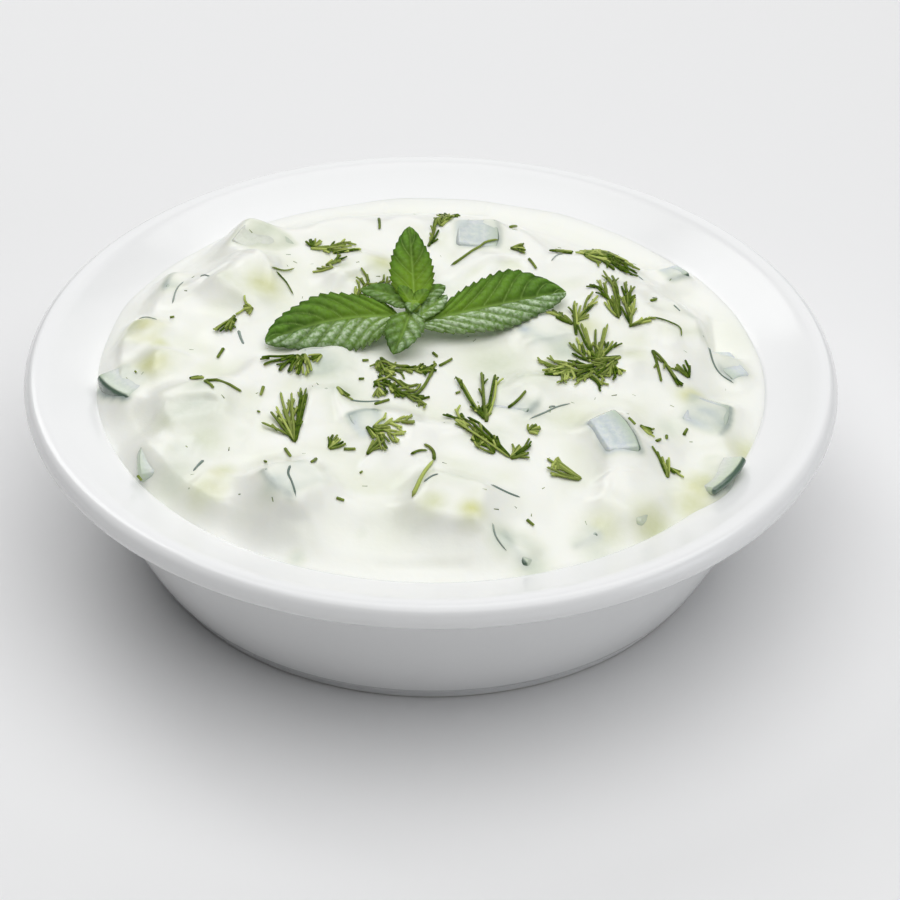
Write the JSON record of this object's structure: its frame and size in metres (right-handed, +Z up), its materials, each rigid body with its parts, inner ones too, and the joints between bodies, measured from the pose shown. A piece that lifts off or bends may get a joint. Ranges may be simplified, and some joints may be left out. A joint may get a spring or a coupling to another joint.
{
  "type": "bowl of tzatziki dip",
  "caption": "Tzatziki heaped in a round white porcelain bowl with a wide sloping rim, with coated cucumber pieces, chopped dill and a sprig of mint on top.",
  "frame": {"origin": "middle of the bowl's foot, on the surface that the bowl stands on", "axes": "+Z up; +Y to the back, where the upright mint leaf leans; +X to the right, where the longer mint leaf points"},
  "size_m": [0.17, 0.17, 0.0566],
  "materials": {
    "porcelain": "gloss",
    "cream": "satin",
    "cucumber": "satin",
    "mint": "satin",
    "dill": "satin"
  },
  "bodies": {
    "root": {"bowl": "porcelain", "dip": "cream", "cucumber_01": "cucumber", "cucumber_02": "cucumber", "cucumber_03": "cucumber", "cucumber_04": "cucumber", "cucumber_05": "cucumber", "cucumber_06": "cucumber", "cucumber_07": "cucumber", "cucumber_08": "cucumber", "cucumber_09": "cucumber", "cucumber_10": "cucumber", "cucumber_11": "cucumber", "cucumber_12": "cucumber", "cucumber_13": "cucumber", "cucumber_14": "cucumber", "cucumber_15": "cucumber", "cucumber_16": "cucumber", "cucumber_17": "cucumber", "cucumber_18": "cucumber", "cucumber_19": "cucumber", "cucumber_20": "cucumber", "cucumber_21": "cucumber", "cucumber_22": "cucumber", "cucumber_23": "cucumber", "cucumber_24": "cucumber", "cucumber_25": "cucumber", "cucumber_26": "cucumber", "cucumber_27": "cucumber", "mint_sprig": "mint"}
  },
  "joints": []
}
